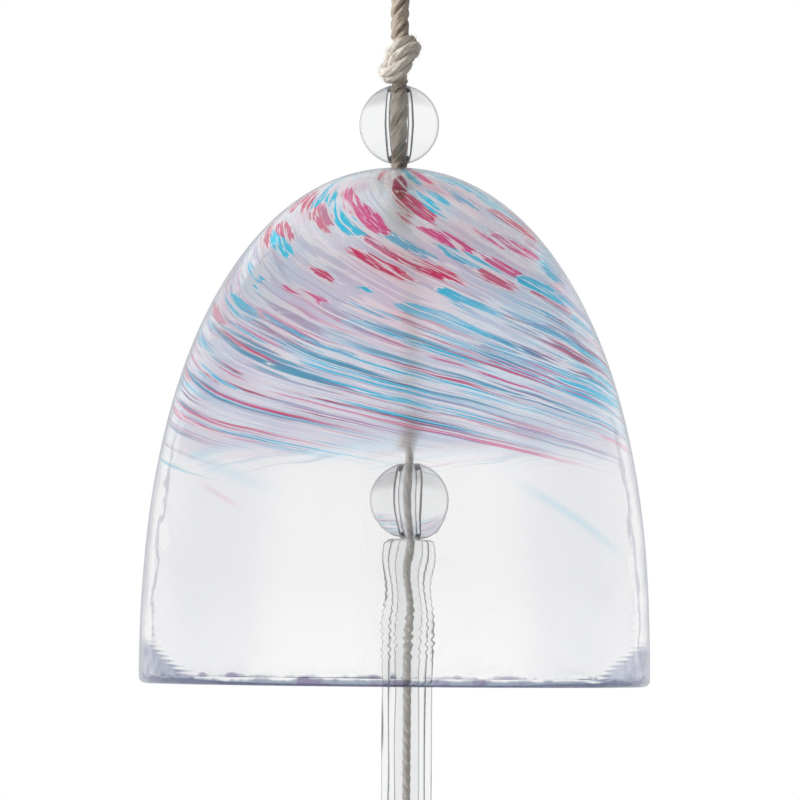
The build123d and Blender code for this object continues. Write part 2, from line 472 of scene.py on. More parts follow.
def bell_outline():
    outside = stepped(dome(RIM_RADIUS, BELL_HEIGHT, HOLE_RADIUS))
    inside = stepped(dome(RIM_RADIUS - WALL, BELL_HEIGHT - CROWN_WALL, FLARE_RADIUS))
    hole = [
        (HOLE_RADIUS, BELL_HEIGHT - HOLE_EDGE),
        (HOLE_RADIUS, BELL_HEIGHT - THROAT),
        (FLARE_RADIUS, BELL_HEIGHT - CROWN_WALL),
    ]
    hole = even(hole, FINE_STEP)
    turn = np.linspace(0, math.pi, LIP_POINTS + 2)[1:-1]
    lip_middle = RIM_RADIUS - WALL / 2
    lip = np.stack(
        [lip_middle - np.cos(turn) * WALL / 2, LIP_RADIUS - np.sin(turn) * LIP_RADIUS], axis=1
    )
    sides = [len(outside), len(hole), len(inside), len(lip)]
    line = np.concatenate([outside, hole, inside[::-1], lip])
    line[:, 1] += RIM_Z
    return line, sides


bell_line, bell_counts = bell_outline()
print("bell outline", bell_counts, "points")

# %% [markdown]
# Blown glass is wavy. Broad swells bend what is seen through it sideways, and the turning mould
# leaves fine level ripples, strongest near the rim. Swells are sums of a few sines of whole
# turns, so that they close on themselves. The seed is fixed, so each run gives the same bell. The
# waves fade towards the crown and right at the lip, so that the model keeps its outline there.

# %% The bell's waves
SWELL_OUTSIDE = 0.02 * MM
SWELL_INSIDE = 0.036 * MM
SWELL_FULL_ABOVE = 11 * MM
CALM_ABOVE = 27 * MM
CALM_OVER = 8 * MM
CALM_SHARE = 0.4
CROWN_CALM = 10 * MM
RIPPLE_INSIDE = 0.018 * MM
RIPPLE_OUTSIDE = -0.009 * MM
RIPPLE_LENGTH = 1.1 * MM
RIPPLE_DRIFT = 2.2
RIPPLE_START = 3.4 * MM
RIPPLE_GROWTH = 3 * MM
DIMPLES = 84
DIMPLE_LEAN = 1.3 / 9
LEVEL_SHARE = 0.35
BELL_SIDES = 540


def swells(seed, waves, turns, lengths):
    """A smooth random field over angle and height, about 1 high, that closes on itself."""
    dice = np.random.default_rng(seed)
    parts = [
        (dice.integers(*turns), dice.uniform(*lengths), dice.uniform(0, 2 * math.pi))
        for _ in range(waves)
    ]

    def field(angle, height):
        total = 0
        for count, length, phase in parts:
            total = total + np.sin(count * angle + 2 * math.pi * height / length + phase)
        return total / math.sqrt(waves / 2)

    return field


outer_swell = swells(3, 14, (2, 14), (14 * MM, 60 * MM))
inner_swell = swells(8, 26, (5, 22), (8 * MM, 24 * MM))
ripple_drift = swells(12, 8, (1, 9), (20 * MM, 60 * MM))


def bell_shift(angle, height, radius):
    """How far the glass stands off its turned outline: swells, and ripples near the rim."""
    above = height - RIM_Z
    inside = np.arange(radius.shape[1]) >= bell_counts[0]
    swell_in, swell_out = inner_swell(angle, above), outer_swell(angle, above)
    swell = np.where(inside, SWELL_INSIDE * swell_in, SWELL_OUTSIDE * swell_out)
    calm = CALM_SHARE + (1 - CALM_SHARE) * np.clip((CALM_ABOVE - above) / CALM_OVER, 0, 1)
    swell = swell * np.clip(above / SWELL_FULL_ABOVE, 0, 1) * calm
    phase = 2 * math.pi * above / RIPPLE_LENGTH + RIPPLE_DRIFT * ripple_drift(angle, above)
    dimples = LEVEL_SHARE + np.sin(DIMPLES * angle + DIMPLE_LEAN * phase)
    ripple = np.where(inside, RIPPLE_INSIDE, RIPPLE_OUTSIDE) * np.sin(phase) * dimples
    strength = np.exp(-above / RIPPLE_REACH)
    strength = strength * np.clip((above - RIPPLE_START) / RIPPLE_GROWTH, 0, 1)
    return (swell + ripple * strength) * np.clip((radius - FLARE_RADIUS) / CROWN_CALM, 0, 1)


waves = {"swells": SWELL_INSIDE, "ripples": RIPPLE_INSIDE}
print({name: round(size / MM, 3) for name, size in waves.items()}, "mm high")

# %% [markdown]
# The colour is frit: crumbs of red, pink and turquoise glass, picked up by the hot bubble of
# glass and drawn out into streaks as the bubble is turned and blown. Near the crown the crumbs
# are still short lenses, and lower down they are long and thin, and they end before the clear
# part. A streak follows a line on which the angle plus a slowly changing share of the height is
# the same, so the pattern is made in those untwisted coordinates, from cells with a random
# colour each. A second set of cells, much narrower, gives the fine threads.

# %% Untwisted coordinates
WIND_TURNS = 3.67
WIND_START = 12.3
BEND_SCALE = 60.0
BEND_TURN = 0.15
RAGGED = 0.32


class Streaks:
    """Heights and untwisted angles on the bell, and patterns made from them."""

    def __init__(self, finish):
        self.finish = finish
        spot = self.place = finish.node("TexCoord").outputs["Object"]
        bend = finish.value("TexNoise", None, {"Vector": spot, "Scale": BEND_SCALE, "Detail": 2.0})
        spot = finish.node("SeparateXYZ", None, {0: spot})
        x, y, z = (Value(finish, spot.outputs[k]) for k in range(3))
        self.x = x
        self.front = y.then("LESS_THAN", 0.0)
        self.above = (z - RIM_Z) / MM
        self.around = x.then("ARCTAN2", y * -1.0)
        wound = (self.above - WIND_START).most(1.0).then("LOGARITHM", math.e)
        self.angle = self.around + wound * WIND_TURNS + (bend - 0.5) * BEND_TURN
        self.grain = self.noise(30.0, 0.22, 55.0, 3.0)

    def spot(self, across, down, shift=0.0, wobble=0.0):
        """A place in a field with so many cells a radian across streaks, and a millimetre down."""
        sockets = {
            0: self.angle.cosine() * across,
            1: self.angle.sine() * across,
            2: self.above * down + shift,
        }
        place = self.finish.node("CombineXYZ", None, sockets).outputs[0]
        if not wobble:
            return place
        noise = self.finish.node("TexNoise", None, {"Vector": place, "Scale": 1.3, "Detail": 3.0})
        settings = {"operation": "MULTIPLY_ADD"}
        bent = {0: noise.outputs["Color"], 1: (wobble, wobble, wobble), 2: place}
        return self.finish.node("VectorMath", settings, bent).outputs[0]

    def noise(self, across, down, shift=0.0, detail=2.0):
        place = self.spot(across, down, shift)
        sockets = {"Vector": place, "Scale": 1.0, "Detail": detail}
        return self.finish.value("TexNoise", None, sockets)

    def lines(self, across, down, shift, width):
        """Fine winding lines, where a broad field crosses its middle."""
        off = (self.noise(across, down, shift) - 0.5).then("ABSOLUTE")
        return 1 - off.ramp(width * 0.4, width)

    def chips(self, across, down, shift, size, soft):
        """A mask of ragged crumbs up to size across, and two random numbers for each crumb."""
        sockets = {"Vector": self.spot(across, down, shift, 0.7), "Scale": 1.0}
        cell = self.finish.node("TexVoronoi", {"voronoi_dimensions": "3D"}, sockets)
        dice = self.finish.node("SeparateColor", None, {0: cell.outputs["Color"]})
        away = Value(self.finish, cell.outputs["Distance"]) + (self.grain - 0.5) * RAGGED
        near = 1 - away.ramp(size - soft, size)
        return near, Value(self.finish, dice.outputs[0]), Value(self.finish, dice.outputs[1])

    def tail(self, start, end, width):
        """A faint streak between two spots, each an angle round the bell and a height."""
        share = (self.around - start[0]) / (end[0] - start[0])
        off = (self.above - start[1] - share * (end[1] - start[1])).then("ABSOLUTE")
        fade = share.ramp(0.0, 0.35) * (1 - share.ramp(0.6, 1.0))
        return (1 - off.ramp(0.0, width)) * fade


def between(value, low, high):
    """1 where a random number lies between low and high."""
    return value.then("GREATER_THAN", low) * value.then("LESS_THAN", high)


print("streak helper ready")

# %% [markdown]
# Each colour works as a filter: light goes through the front wall and the back wall, and both
# take their part of it. A tint is put together in layers, from the milky ground up. First come
# the colours and the few numbers that set the layers apart.

# %% The bell's colours
WHITE = (1.0, 1.0, 1.0, 1.0)
CLEAR = rgb(251, 251, 251)
MILK = rgb(225, 231, 245)
MILK_LIGHT = rgb(248, 250, 253)
CYAN = rgb(0, 214, 246)
TEAL = rgb(60, 170, 200)
CRIMSON = rgb(226, 14, 104)
PINK = rgb(236, 70, 150)
PURPLE = rgb(140, 104, 160)
# Colours of painted shade near the rim
RIM_BLUE_SHADE = rgb(206, 210, 224)
RIM_SHADE = rgb(150, 156, 180)
RIM_DEEP_SHADE = rgb(168, 178, 192)
RIM_PURPLE_SHADE = rgb(150, 140, 172)
EDGE_GREY = rgb(214, 216, 220)
# Colours of painted shade at the sides and on the outline
SIDE_GREY_SHADE = rgb(240, 241, 244)
OUTLINE_GREY_SHADE = rgb(218, 220, 225)
HAZE_GREY = rgb(252, 252, 253)

# Each crumb layer: cells a radian across, cells a millimetre down, shift, size, softness, and
# the random numbers up to which a crumb is crimson, turquoise and pink
CRUMBS = {
    "lenses": (4.6, 0.20, 2.0, 0.57, 0.09, (0.0, 0.20, 0.52, 0.60)),
    "dashes": (6.2, 0.085, 5.0, 0.48, 0.10, (0.0, 0.20, 0.54, 0.60)),
    "threads": (18.0, 0.07, 8.0, 0.42, 0.16, (0.0, 0.12, 0.34, 0.40)),
}
# Each bundle of fine lines: its colour and the shifts of its two fields
BUNDLES = [(PINK, 37.0, 87.0), (CYAN, 11.0, 61.0), (CRIMSON, 23.0, 73.0), (TEAL, 41.0, 97.0)]
# Each tail under the streaks: colour, share, half width, and its two ends
TAILS = [
    (PINK, 0.16, 0.8, (-0.96, 31.8), (-0.62, 26.6)),
    (CYAN, 0.20, 1.5, (0.44, 33.0), (1.18, 19.0)),
    (CYAN, 0.14, 1.8, (-1.15, 37.0), (-0.45, 29.5)),
]
print("crumb layers", list(CRUMBS))

# %% [markdown]
# The ground between the streaks is milk glass, in bands that are more or less dense. Fine lines
# of colour lie on it in bundles: a broad field says where a bundle is, and a narrow one draws its
# lines.


# %% Milk and bundles
def milky_ground(finish, streaks):
    """How milky the glass is, and the colour of its ground."""
    bands = streaks.noise(7.0, 0.08, 4.0, 3.0)
    milk = streaks.above.ramp(33.0, 46.0) * (0.62 + bands * 0.6).least(1.0)
    light = bands.ramp(0.50, 0.66).most(streaks.above.ramp(64.0, 76.0) * 0.9)
    return milk, finish.mixed(milk, CLEAR, finish.mixed(light, MILK, MILK_LIGHT))


def with_bundles(finish, streaks, tint, zone):
    """A tint with the bundles of fine lines over it."""
    for colour, shift, fine_shift in BUNDLES:
        field = streaks.noise(4.2, 0.07, shift).ramp(0.53, 0.61)
        fine = streaks.noise(22.0, 0.09, fine_shift, 3.0).ramp(0.42, 0.54)
        tint = finish.mixed(field * fine * zone * 0.92, tint, colour)
    return tint


print("bundles", len(BUNDLES))

# %% [markdown]
# The crumbs come next: short lenses in the crown, dashes and threads below it. Each layer also
# says where painted glints lie: painted highlights, as clear white glass, along a crumb's ragged
# edge and in fine crinkles inside it.


# %% Crumbs
def with_crumbs(finish, streaks, tint, glint, zones):
    """A tint with the crumbs over it, each layer in its zone, and where painted highlights lie."""
    crinkle_highlight = streaks.noise(60.0, 0.50, 19.0, 3.0).ramp(0.57, 0.61)
    for name, (across, down, shift, size, soft, limits) in CRUMBS.items():
        near, dice, other = streaks.chips(across, down, shift, size, soft)
        for low, high, colour in zip(limits, limits[1:], (CRIMSON, CYAN, PINK)):
            chosen = zones[name] * between(dice, low, high)
            mask = near * chosen * (0.8 + other * 0.5).least(1.0)
            tint = finish.mixed(mask, tint, colour)
        # Painted highlights: white along each crumb's ragged edge and in its crinkles.
        chosen = zones[name] * between(dice, 0.0, 0.72)
        edge = near * (1 - near) * 4 * streaks.grain.ramp(0.44, 0.52)
        glint = glint.most(edge * chosen).most(near * chosen * crinkle_highlight * 0.9)
    return tint, glint


print("crumb helper ready")

# %% [markdown]
# Where two colours ran into each other the glass has dark violet lines, and a drop of crimson
# hangs under the cord hole. Painted highlights, thin white lines, lie over everything, and a few
# faint tails of colour reach down into the clear part.


# %% Lines, drop and tails
def with_dark(finish, streaks, tint, zone):
    """A tint with the dark lines over it, and with the drop under the cord hole."""
    gather = streaks.noise(4.0, 0.08, 53.0).ramp(0.44, 0.58)
    dark = streaks.lines(10.0, 0.05, 33.0, 0.05) * gather * zone
    tint = finish.mixed(dark * 0.8, tint, PURPLE, "MULTIPLY")
    across = ((streaks.x / MM - 0.2) / 1.3) ** 2.0
    drop = across + ((streaks.above - 77.4) / 2.3) ** 2.0 + streaks.grain * 0.6
    drop = (1 - drop.ramp(0.9, 1.3)) * streaks.front
    tint = finish.mixed(drop, tint, CRIMSON, "MULTIPLY")
    return finish.mixed(drop * 0.6, tint, PURPLE, "MULTIPLY")


def with_tails(finish, streaks, tint):
    for colour, share, width, start, end in TAILS:
        mask = streaks.tail(start, end, width) * share
        tint = finish.mixed(mask, tint, colour, "MULTIPLY")
    return tint


print("tails", len(TAILS))

# %% [markdown]
# Clear glass is drawn by its edges, so shade is painted there. Near the rim the thick corner
# gets a painted grey blue shade at the sides, to which level ripples give a border like a comb.
# The clear walls get a little painted grey towards the sides, with a darker painted fold where the
# inner surface is seen edge on, and a painted grey and violet shade lies along the rim.


# %% Shades of the clear part
def with_shades(finish, streaks, tint, slant, patches, bare):
    """A tint with painted shade over it where glass is thick or slanting, where bare says no milk
    is.
    """
    above = streaks.above
    # Painted shade: grey blue at the sides of the thick corner near the rim, bordered like a comb.
    comb = (above * 8.6 + streaks.around.sine() * 5.0).sine() * 0.035
    corner = (slant - 0.27 - above * 0.06 + comb + (patches - 0.5) * 0.12).ramp(0.0, 0.09)
    shade = finish.mixed(patches.ramp(0.35, 0.65), RIM_SHADE, RIM_BLUE_SHADE)
    tint = finish.mixed(corner * (1 - above.ramp(5.0, 8.0)), tint, shade, "MULTIPLY")
    # Painted shade: the clear walls turn a little grey towards the sides.
    side = slant.ramp(0.08, 0.22) * (1 - slant.ramp(0.3, 0.6)) * bare
    tint = finish.mixed(side * 0.7, tint, SIDE_GREY_SHADE, "MULTIPLY")
    # Painted shade: a darker fold where the inner surface is seen edge on.
    painted_fold_shade = (slant - 0.60 - patches * 0.2).then("ABSOLUTE")
    painted_fold_shade = (1 - painted_fold_shade.ramp(0.008, 0.03)) * bare * above.ramp(4.0, 8.0)
    tint = finish.mixed(painted_fold_shade * 0.5, tint, RIM_SHADE, "MULTIPLY")
    # Painted shade: a grey and violet line along the rim.
    rim_line_shade = 1 - (above - (patches - 0.5) * 2.2).ramp(0.8, 1.3)
    deep = finish.mixed(patches.ramp(0.50, 0.62), RIM_DEEP_SHADE, RIM_PURPLE_SHADE)
    return finish.mixed(rim_line_shade, tint, deep, "MULTIPLY")


print("shade helper ready")

# %% [markdown]
# Now the layers go into one finish for the outside. Milk glass also scatters light, so a dull
# haze is mixed in, more of it in the crown. The tint is multiplied by itself at the end, because
# glass takes the root of its colour at each surface. The bell's outline is a painted shade: a thin
# grey that lets light through.


# %% The outside's glass
def streaked_glass():
    finish = material("streaked glass")
    streaks = Streaks(finish)
    above = streaks.above
    reach = (above - 24.0 - streaks.noise(9.0, 0.0, 3.0) * 24.0).ramp(0.0, 6.0)
    crown = above.ramp(50.0, 62.0)
    threads = streaks.noise(60.0, 0.05, 9.0, 3.0)
    slant = slant_of(finish)
    patches = {"Vector": streaks.place, "Scale": 190.0, "Detail": 3.0}
    patches = finish.value("TexNoise", None, patches)

    milk, tint = milky_ground(finish, streaks)
    tint = with_bundles(finish, streaks, tint, reach * (1 - crown * 0.9))
    # Painted glints: white highlights along the fine threads, joined below by the crumbs' glints
    # and the white lines.
    glint = threads.ramp(0.60, 0.66) * reach * (1 - crown) * 0.7
    drawn_out = reach * (1 - crown * 0.85)
    zones = {"lenses": crown, "dashes": drawn_out, "threads": drawn_out}
    tint, glint = with_crumbs(finish, streaks, tint, glint, zones)
    tint = with_dark(finish, streaks, tint, reach * (1 - crown * 0.7))
    # Painted highlights: thin white lines over the streaks, which turn the tint clear white.
    highlight_lines = streaks.lines(6.0, 0.07, 43.0, 0.045) * reach
    glint = glint.most(highlight_lines * 0.9).least(1.0)
    tint = with_tails(finish, streaks, finish.mixed(glint, tint, WHITE))
    tint = with_shades(finish, streaks, tint, slant, patches, 1 - milk)

    cloudy = milk * (0.10 + above.ramp(62.0, 72.0) * 0.26 - glint * 0.08)
    haze = dull_haze(finish, finish.mixed(milk, EDGE_GREY, tint))
    tint = finish.mixed(1.0, tint, tint, "MULTIPLY")
    height = threads * above.ramp(34.0, 44.0) * (1 - crown * 0.8)
    bump = {"Height": height, "Distance": 0.2 * MM, "Strength": 0.3}
    normal = finish.node("Bump", None, bump).outputs[0]
    body = glass(finish, tint, 0.01, haze, cloudy, normal)
    # Painted shade: a thin grey outline where the surface is seen edge on.
    outline = finish.node("BsdfTransparent", None, {"Color": OUTLINE_GREY_SHADE})
    edge = (slant + patches * 0.1).ramp(0.80, 0.98)
    return finish.close(finish.shaders(edge * 0.85, body, outline))


outside_glass = streaked_glass()
print("outside", len(outside_glass.node_tree.nodes), "nodes")

# %% [markdown]
# The inside is clear at the bottom and rough where the milk lies, which blurs what is behind it.
# Rays that meet the inner surface at a flat angle are mirrored over and over inside the wall, and
# the renderer gives them up as black after a few turns. In a real wall they come out again as
# light. So one node finds how much the surface mirrors, and where that is nearly all, the ray
# passes straight on.


# %% The inside's glass
def milky_glass():
    finish = material("milky inside")
    streaks = Streaks(finish)
    above = streaks.above
    cloud = streaks.noise(3.0, 0.06, 1.0)
    milk = (above - 6.0 * cloud).ramp(28.0, 39.0) * (1 - 0.65 * above.ramp(64.0, 78.0))
    # Painted light: the clear glass is pure white low down, a glow near the rim, and a little grey
    # higher up.
    clear = finish.mixed(above.ramp(3.0, 20.0), WHITE, rgb(248, 248, 249))
    roughness = milk * (0.16 + 0.06 * cloud + 0.20 * above.ramp(50.0, 62.0)) + 0.004
    haze = finish.node("BsdfTransparent", None, {"Color": HAZE_GREY})
    caught = finish.value("Fresnel", None, {"IOR": GLASS_IOR}).ramp(0.3, 0.9)
    return finish.close(glass(finish, clear, roughness, haze, caught * 0.92))


inside_glass = milky_glass()
print("inside", len(inside_glass.node_tree.nodes), "nodes")

# %% [markdown]
# The bell is one closed mesh. The outside and the lip get the streaked glass, and the cord hole
# and the inside get the milky one.

# %% Make the bell
points, faces = spun(bell_line, BELL_SIDES, (0, 0), bell_shift)
step = np.tile(np.arange(len(bell_line)), BELL_SIDES)
first_lip = sum(bell_counts[:3])
face_finish = ((step >= bell_counts[0]) & (step < first_lip)).astype(np.int32)
bell = new_piece(
    "blown_bell", points, faces, [outside_glass, inside_glass], "bell", face_finish
)
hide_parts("bell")
print("bell", len(points), "points")

# %% [markdown]
# A pressed bead is a ball with a bore that is widest in its middle, where the pins of the mould
# met. Its bore gets the darker veil. It is barely wavy, so its swells are very low.

# %% The two beads
BEAD_RADIUS = (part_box("upper_bead")[1].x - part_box("upper_bead")[0].x) / 2
BORE_END = 1.25 * MM
BORE_MIDDLE = 1.55 * MM
BORE_EDGE = 0.2 * MM
BEAD_STEP = 0.16 * MM
BEAD_SIDES = 128
BALL_POINTS = 200
BEAD_SWELL = 0.012 * MM


def bead_outline():
    """A ball's outline from its lower mouth up the outside, and down the bore."""
    mouth = BORE_END + BORE_EDGE
    tip = math.asin(mouth / BEAD_RADIUS)
    turn = np.linspace(-math.pi / 2 + tip, math.pi / 2 - tip, BALL_POINTS)
    ball = np.stack([BEAD_RADIUS * np.cos(turn), BEAD_RADIUS * np.sin(turn)], axis=1)
    mouth_z = BEAD_RADIUS * math.cos(tip)
    bore = [(BORE_END, mouth_z - BORE_EDGE), (BORE_MIDDLE, 0), (BORE_END, BORE_EDGE - mouth_z)]
    ball, bore = even(ball, BEAD_STEP), even(bore, BEAD_STEP)
    return np.concatenate([ball, bore]), len(ball)


def bead(name, node, seed):
    low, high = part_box(node)
    middle = (low + high) / 2
    swell = swells(seed, 6, (2, 7), (9 * MM, 30 * MM))
    line, on_ball = bead_outline()
    points, faces = spun(
        line + [(0, middle.z)],
        BEAD_SIDES,
        (middle.x, middle.y),
        lambda angle, height, radius: BEAD_SWELL * swell(angle, height),
    )
    finish = np.tile(np.arange(len(line)) >= on_ball, BEAD_SIDES).astype(np.int32)
    piece = new_piece(name, points, faces, [bead_glass, bead_bore], node, finish)
    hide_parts(node)


bead("bead_on_the_crown", "upper_bead", 21)
bead("bead_in_the_bell", "lower_bead", 22)
print("beads", round(2 * BEAD_RADIUS / MM, 2), "mm across")

# %% [markdown]
# The tube was cut from a drawn rod of glass, and its ends were rounded in a flame. Its wall is a
# closed outline like the others, long and narrow.

# %% The striking tube
TUBE_BORE = 1.95 * MM
TUBE_EDGE = 0.4 * MM
TUBE_STEP = 0.5 * MM
TUBE_SIDES = 96
TUBE_SWELL = 0.02 * MM
CORNER_POINTS = 7
tube_low, tube_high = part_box("clapper_tube")
TUBE_RADIUS = (tube_high.x - tube_low.x) / 2


def tube_outline():
    """The tube's wall as a long closed outline with rounded ends."""
    corners = [
        (TUBE_BORE + TUBE_EDGE, tube_low.z, -math.pi, -math.pi / 2),
        (TUBE_RADIUS - TUBE_EDGE, tube_low.z, -math.pi / 2, 0),
        (TUBE_RADIUS - TUBE_EDGE, tube_high.z, 0, math.pi / 2),
        (TUBE_BORE + TUBE_EDGE, tube_high.z, math.pi / 2, math.pi),
    ]
    line = []
    for radius, end_z, start, stop in corners:
        middle_z = end_z + (TUBE_EDGE if end_z == tube_low.z else -TUBE_EDGE)
        for turn in np.linspace(start, stop, CORNER_POINTS):
            out, up = TUBE_EDGE * math.cos(turn), TUBE_EDGE * math.sin(turn)
            line.append((radius + out, middle_z + up))
    line.append(line[0])
    return even(line, TUBE_STEP)[:-1]


tube_swell = swells(31, 6, (2, 5), (18 * MM, 50 * MM))
tube_middle = (tube_low + tube_high) / 2
tube_line = tube_outline()
points, faces = spun(
    tube_line,
    TUBE_SIDES,
    (tube_middle.x, tube_middle.y),
    lambda angle, height, radius: TUBE_SWELL * tube_swell(angle, height),
)
in_bore = np.tile(tube_line[:, 0] < TUBE_BORE + TUBE_EDGE / 4, TUBE_SIDES).astype(np.int32)
tube = new_piece(
    "striking_tube", points, faces, [tube_glass, tube_bore], "clapper_tube", in_bore
)
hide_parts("clapper_tube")
print("tube", len(points), "points")

# %% [markdown]
# One cotton cord carries everything. It is doubled from the loop down to the knot under the
# crown, and single below it. The routes take the same points as the CAD model's, as smooth
# curves, and the overhand knots are really tied: the strand goes over, round and through itself.

# %% The cord's routes
LEG = 1.3 * MM
LEG_APART = 1.4 * MM
KNOT_STRANDS = {
    "upper_knot": 1.6 * MM,
    "stopper_knot": 1.6 * MM,
    "inner_knot": 1.0 * MM,
    "tube_knot": 1.35 * MM,
    "strip_knot": 1.0 * MM,
}
KNOT_GAP = 0.2 * MM
LINE_STEP = 0.1 * MM
CLAPPER_X = 2.0 * MM
KNOT_MIDDLE = (0.0, 1.45, 0.0)
KNOT_HALF = [
    (0.85, 1.25, 0.55),
    (1.35, 0.35, 1.35),
    (0.95, -0.80, 1.50),
    (0.00, -1.30, 0.95),
    (-0.80, -1.00, 0.15),
    (-0.70, -0.15, -0.60),
    (0.00, 0.00, -1.15),
    (0.00, 0.00, -2.00),
]
LOOP_LENGTH = 18.0 * MM
LOOP_SIDE = 4.5 * MM
LOOP_HALF = [(0.30, 0.00), (0.80, 0.08), (1.00, 0.26), (0.85, 0.50), (0.45, 0.76)]
LOOP_NECK = 0.90
STRIP_LOOP_LENGTH = 10.0 * MM
STRIP_LOOP_SIDE = 2.0 * MM
STRIP_LOOP_HALF = [(0.40, 1.00), (1.00, 0.86), (0.95, 0.45)]
STRIP_LOOP_NECK = 0.12


def knot_points(node, x=0.0, shift=0.0):
    """An overhand knot's route, from its upper end to its lower end, round a CAD knot's middle."""
    spacing = KNOT_STRANDS[node] + KNOT_GAP
    middle_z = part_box(node)[1].z + KNOT_HALF[-1][2] * spacing
    half = [tuple(spacing * share for share in point) for point in KNOT_HALF]
    upper = [(-a, b, -c) for a, b, c in half]
    half[-2] = (shift / 2, 0, half[-2][2])
    half[-1] = (shift, 0, half[-1][2])
    middle = tuple(spacing * share for share in KNOT_MIDDLE)
    return [(x + a, b, middle_z + c) for a, b, c in upper[::-1] + [middle] + half]


def smooth_line(name, points):
    """Even points along the smooth curve that a route's points steer."""
    curve = bpy.data.curves.new(name, "CURVE")
    curve.dimensions = "3D"
    curve.resolution_u = 24
    spline = curve.splines.new("NURBS")
    spline.points.add(len(points) - 1)
    for point, place in zip(spline.points, points):
        point.co = (*place, 1.0)
    spline.order_u = 3
    spline.use_endpoint_u = True
    holder = bpy.data.objects.new(name, curve)
    mesh = bpy.data.meshes.new_from_object(holder)
    line = np.array([v.co[:] for v in mesh.vertices])
    bpy.data.meshes.remove(mesh)
    bpy.data.objects.remove(holder)
    bpy.data.curves.remove(curve)
    return even(line, LINE_STEP)


def lengths(line):
    """How far along a line each of its points lies."""
    steps = np.linalg.norm(np.diff(line, axis=0), axis=1)
    return np.concatenate([[0], np.cumsum(steps)])


print("route helpers ready")

# %% [markdown]
# The loop over the hook and the loop through the strip are the same on both sides, so only one
# side of each is written down. The other routes run from knot to knot.

# %% Routes from the loop to the strip
neck_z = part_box("upper_cord")[1].z
side = [(LOOP_SIDE * a, 0, LEG / 2 - LOOP_LENGTH * b) for a, b in LOOP_HALF]
side += [(LEG_APART / 2, 0, -LOOP_LENGTH * LOOP_NECK), (LEG_APART / 2, 0, neck_z)]
loop_route = [(-x, y, z) for x, y, z in side[::-1]] + side

hanger_route = [(0, 0, neck_z)] + knot_points("upper_knot")
hanger_route += knot_points("stopper_knot", shift=CLAPPER_X)

clapper_route = [hanger_route[-1]] + knot_points("inner_knot", CLAPPER_X)
clapper_route += knot_points("tube_knot", CLAPPER_X)

strip_knot = knot_points("strip_knot", CLAPPER_X)
strip_route = [clapper_route[-1], strip_knot[0]]

strip_foot = strip_knot[-1][2]
side = [(STRIP_LOOP_SIDE * a, strip_foot - STRIP_LOOP_LENGTH * b) for a, b in STRIP_LOOP_HALF]
side += [(LEG_APART / 2, strip_foot - STRIP_LOOP_LENGTH * STRIP_LOOP_NECK)]
side += [(LEG_APART / 2, strip_foot)]
strip_loop_route = [(CLAPPER_X, -y, z) for y, z in side[::-1]]
strip_loop_route += [(CLAPPER_X, y, z) for y, z in side]

routes = {
    "loop": loop_route,
    "hanger": hanger_route,
    "clapper": clapper_route,
    "strip": strip_route,
    "strip_knot": strip_knot,
    "strip_loop": strip_loop_route,
}
lines = {name: smooth_line(name, points) for name, points in routes.items()}
for name, line in lines.items():
    print(name, "route", round(lengths(line)[-1] / MM, 1), "mm")

# %% [markdown]
# A single leg of the cord is three yarns twisted together. Its mesh has the outline of three
# touching yarns as its section, turned steadily along the leg, so the grooves between the yarns
# are real. Where the cord is doubled, its two soft legs press each other flat: each is an oval,
# and the pair is nearly round and twists as one. A frame that doesn't spin by itself is carried
# along the line first, and the twist is added to it on purpose.


# %% Frames along a line
BEND_WINDOW = 25
SETTLE_LENGTH = 0.9 * MM


def unit(rows):
    """Rows of numbers as directions of length 1."""
    return rows / np.linalg.norm(rows, axis=1)[:, None]


def steady_frames(line):
    """For each point of a line, two side directions that don't spin about it, and its heading."""
    heading = unit(np.gradient(line, axis=0))
    start = np.array([1.0, 0.0, 0.0]) if abs(heading[0][0]) < 0.9 else np.array([0.0, 1.0, 0.0])
    side = np.empty_like(line)
    for k in range(len(line)):
        before = side[k - 1] if k else start
        turned = before - heading[k] * (before @ heading[k])
        side[k] = turned / np.linalg.norm(turned)
    return side, np.cross(heading, side), heading


def pair_frames(line, pitch, flat):
    """Frames of a doubled cord, which twists, but lies flat on its bends where flat is 1."""
    side, up, heading = steady_frames(line)
    window = np.ones(BEND_WINDOW) / BEND_WINDOW
    bend = np.gradient(heading, axis=0)
    bend = np.stack([np.convolve(row, window, "same") for row in bend.T], 1)
    wide = np.cross(heading, bend)
    lying = np.arctan2((wide * up).sum(axis=1), (wide * side).sum(axis=1))
    turn = np.zeros(len(line))
    for k in range(1, len(line)):
        miss = (lying[k] - turn[k - 1] + math.pi / 2) % math.pi - math.pi / 2
        twist = (1 - flat[k]) * 2 * math.pi * LINE_STEP / pitch
        turn[k] = turn[k - 1] + twist + flat[k] * miss * LINE_STEP / SETTLE_LENGTH
    across = np.cos(turn)[:, None] * side + np.sin(turn)[:, None] * up
    return across, np.cross(heading, across), heading


def twisted_frames(line, pitch, start_turn=0.0):
    """Frames of a single leg, which turn once in a pitch."""
    side, up, heading = steady_frames(line)
    turn = 2 * math.pi * (lengths(line) / pitch + start_turn)
    across = np.cos(turn)[:, None] * side + np.sin(turn)[:, None] * up
    return across, np.cross(heading, across), heading


print("frame helpers ready")

# %% [markdown]
# A yarn's own outline shows in the single leg. In a doubled cord the legs are soft and show only
# a few shallow folds. Each leg also gets coordinates for its fibres: a share of its turn and the
# millimetres along it.

# %% The section of a leg
YARNS = 3
YARN_OFF = 0.32
YARN_RADIUS = 0.69
YARN_PITCH = -5.2 * MM
SECTION_POINTS = 28
RELIEF = 0.09
RELIEF_LOBES = 5
RELIEF_PITCH = 11.0 * MM


